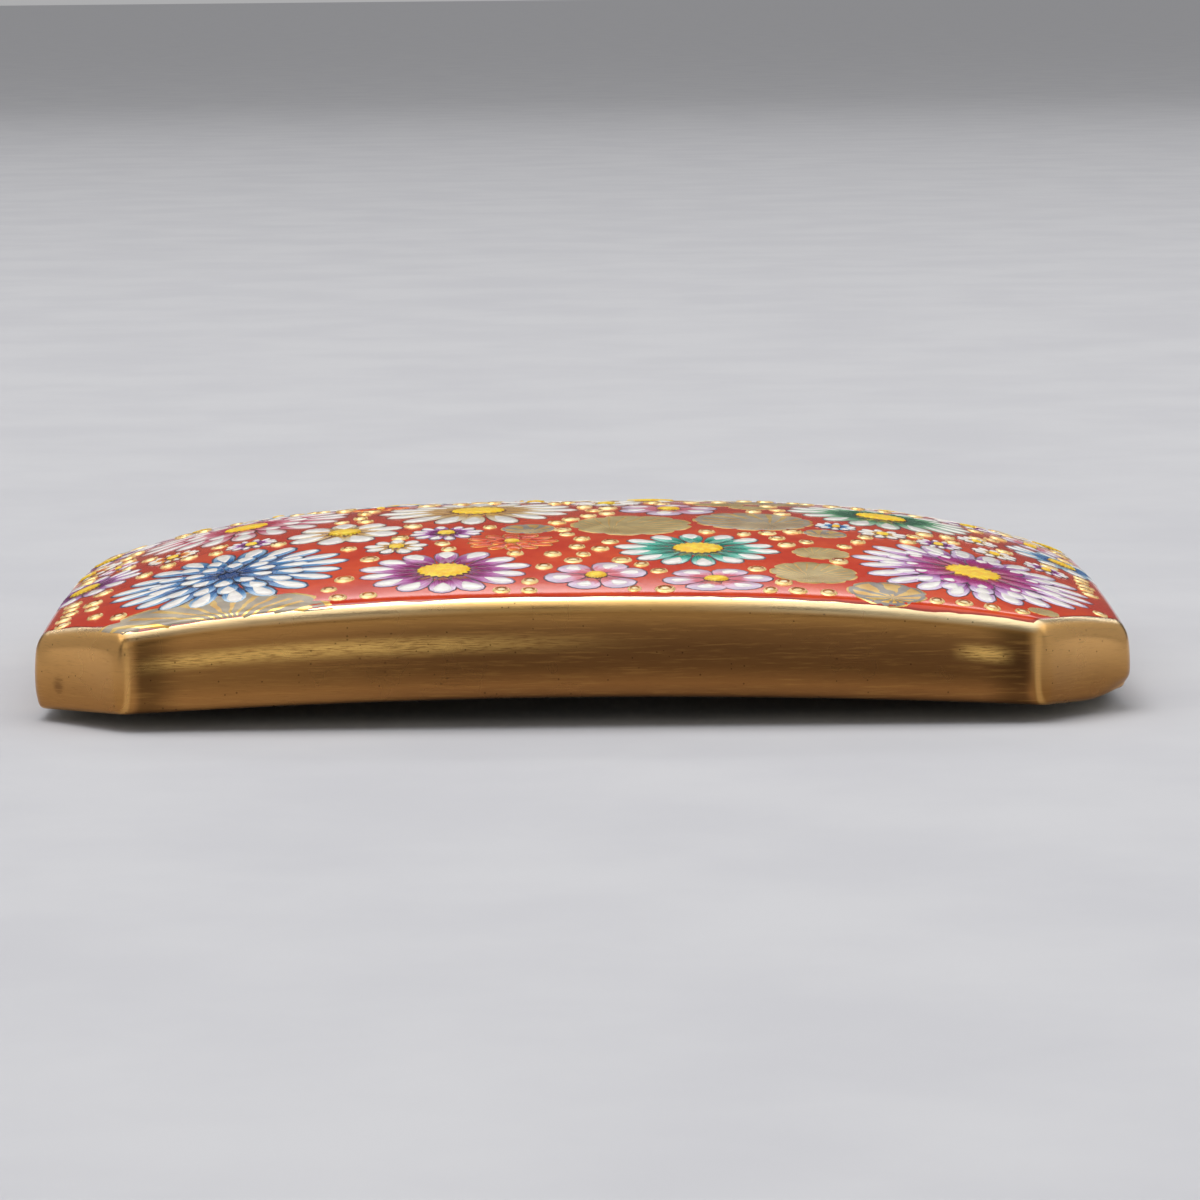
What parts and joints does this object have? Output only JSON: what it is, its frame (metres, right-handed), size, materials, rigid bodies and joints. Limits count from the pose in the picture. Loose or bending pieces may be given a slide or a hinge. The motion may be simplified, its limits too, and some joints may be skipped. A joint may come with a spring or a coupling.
{
  "type": "obidome, a ceramic sash ornament",
  "caption": "Arched sash ornament of gilded red ceramic with cut corners, packed with raised enamel chrysanthemums, with metal cord loops in its hollow back.",
  "frame": {"origin": "in the plane that the two cord loops stand on, below the middle of the plate", "axes": "+X along the plate and the cord, +Y across the plate, +Z out of the painted face"},
  "size_m": [0.05, 0.037, 0.0082],
  "materials": {
    "painted_glaze": "gloss",
    "gilt_brass": "satin",
    "enamel_blue": "gloss",
    "enamel_violet": "gloss",
    "enamel_teal": "gloss",
    "enamel_purple": "gloss",
    "enamel_pink": "gloss",
    "enamel_rose": "gloss",
    "enamel_white": "gloss",
    "enamel_green": "gloss",
    "enamel_sky": "gloss",
    "enamel_amber": "gloss",
    "enamel_crimson": "gloss"
  },
  "bodies": {
    "root": {"plate": "painted_glaze", "loop_left": "gilt_brass", "loop_right": "gilt_brass", "flower_blue": "enamel_blue", "flower_violet": "enamel_violet", "flower_teal": "enamel_teal", "flower_purple": "enamel_purple", "blossom_near_left": "enamel_pink", "blossom_near_right": "enamel_pink", "flower_rose": "enamel_rose", "flower_white": "enamel_white", "flower_green": "enamel_green", "flower_sky": "enamel_sky", "flower_amber": "enamel_amber", "flower_crimson": "enamel_crimson", "blossom_left": "enamel_pink", "blossom_middle": "enamel_pink", "blossom_right": "enamel_pink"}
  },
  "joints": []
}
